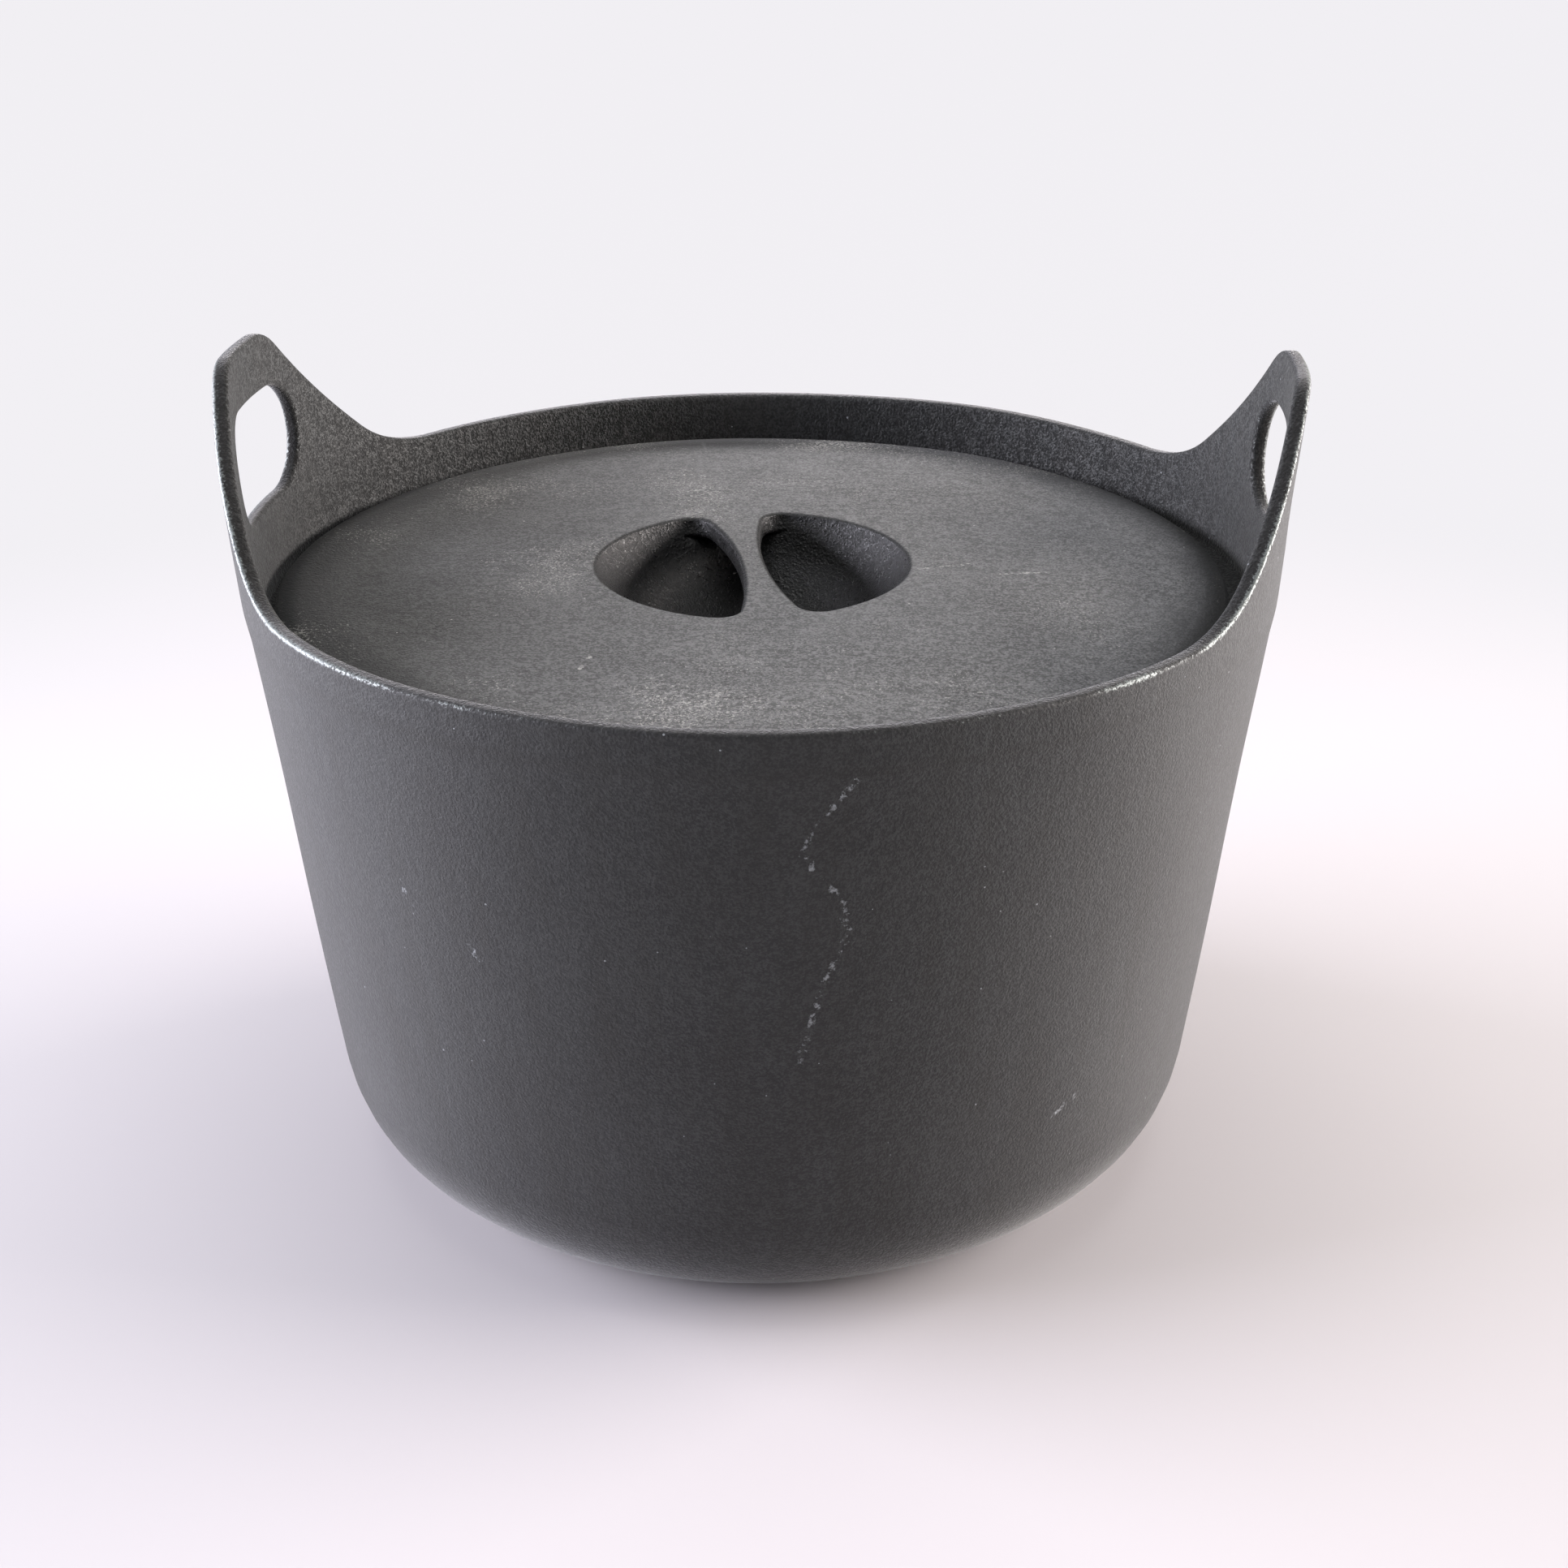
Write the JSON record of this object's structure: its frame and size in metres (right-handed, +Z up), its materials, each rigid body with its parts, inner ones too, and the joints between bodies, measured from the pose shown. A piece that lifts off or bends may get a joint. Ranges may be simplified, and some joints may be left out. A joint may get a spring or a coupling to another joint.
{
  "type": "dutch oven",
  "caption": "Flared round cast iron cooking pot with two upright cast ears, each with a hand hole, and a sunken lid gripped by a bar across a bowl",
  "frame": {"origin": "centre of the pot's foot, on the surface that it stands on", "axes": "+Z up, X through both ears, Y across them"},
  "size_m": [0.2458, 0.24, 0.193],
  "materials": {
    "pot_iron": "matte, fine cast grain, with worn brighter edges",
    "lid_iron": "matte, dry, finely scratched and dusty on top"
  },
  "bodies": {
    "pot": {"pot_foot": "pot_iron", "pot_wall": "pot_iron", "pot_collar": "pot_iron", "pot_ear_left": "pot_iron", "pot_ear_right": "pot_iron"},
    "lid": {"lid_plate": "lid_iron", "locating_lip": "lid_iron", "grip_bowl": "lid_iron", "grip_bar": "lid_iron"}
  },
  "joints": [
    {"name": "lid_lift", "type": "slide", "parent": "pot", "child": "lid", "axis": [0, 0, 1], "range_m": [0, 0.1]}
  ]
}
